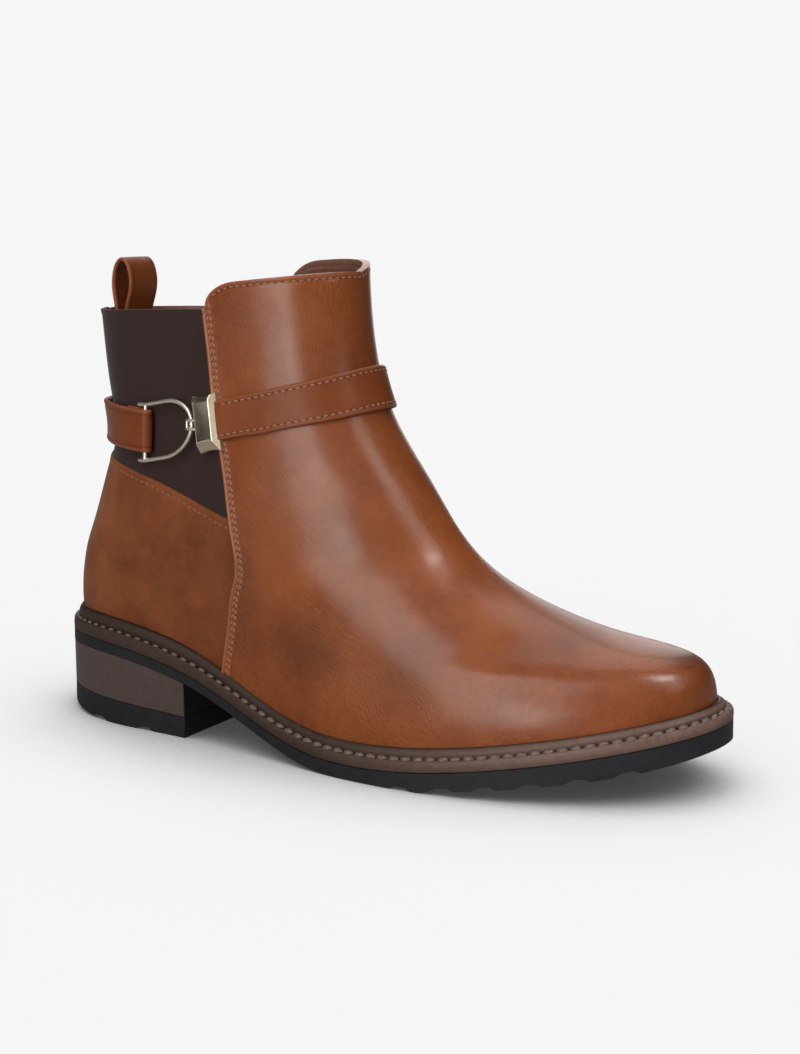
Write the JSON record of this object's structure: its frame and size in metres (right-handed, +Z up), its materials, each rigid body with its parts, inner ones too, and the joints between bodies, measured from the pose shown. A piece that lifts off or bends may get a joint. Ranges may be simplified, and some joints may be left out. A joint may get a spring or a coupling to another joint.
{
  "type": "ankle boot",
  "caption": "Low-heeled leather ankle boot with an elastic side gore, an inner zip, a strap with a metal ring and end cap, a stitched welt and a lugged sole; right foot.",
  "frame": {"origin": "on the floor, below the middle of the boot's box in plan", "axes": "+X towards the toe, -Y towards the outer side, +Z up"},
  "size_m": [0.2722, 0.0946, 0.1799],
  "materials": {
    "upper": "smooth waxed tan-brown leather",
    "strap": "smooth tan-brown leather",
    "gore": "ribbed dark-brown elastic",
    "zip_tape": "woven brown tape with a coil",
    "slider_metal": "brown lacquer",
    "hardware": "polished pale gold",
    "insole": "matte lining",
    "welt": "dark-brown with light stitches",
    "sole_rubber": "black",
    "heel": "dark-brown stacked look"
  },
  "bodies": {
    "boot": {"upper": "upper", "elastic_gore": "gore", "zip": "zip_tape", "zip_slider": "slider_metal", "strap_front": "strap", "strap_rear": "strap", "buckle_ring": "hardware", "strap_end_cap": "hardware", "pull_loop": "strap", "insole": "insole", "welt": "welt", "outsole": "sole_rubber", "heel_block": "heel", "heel_top_lift": "sole_rubber"},
    "zip_pull": {"zip_pull_ring": "slider_metal", "zip_pull_tab": "strap"}
  },
  "joints": [
    {"name": "zip_pull_hinge", "type": "hinge", "parent": "boot", "child": "zip_pull", "pos_m": [-0.06815, 0.03497, 0.15372], "axis": [0.9942, -0.0245, 0.1047], "range_deg": [0, 165]}
  ]
}
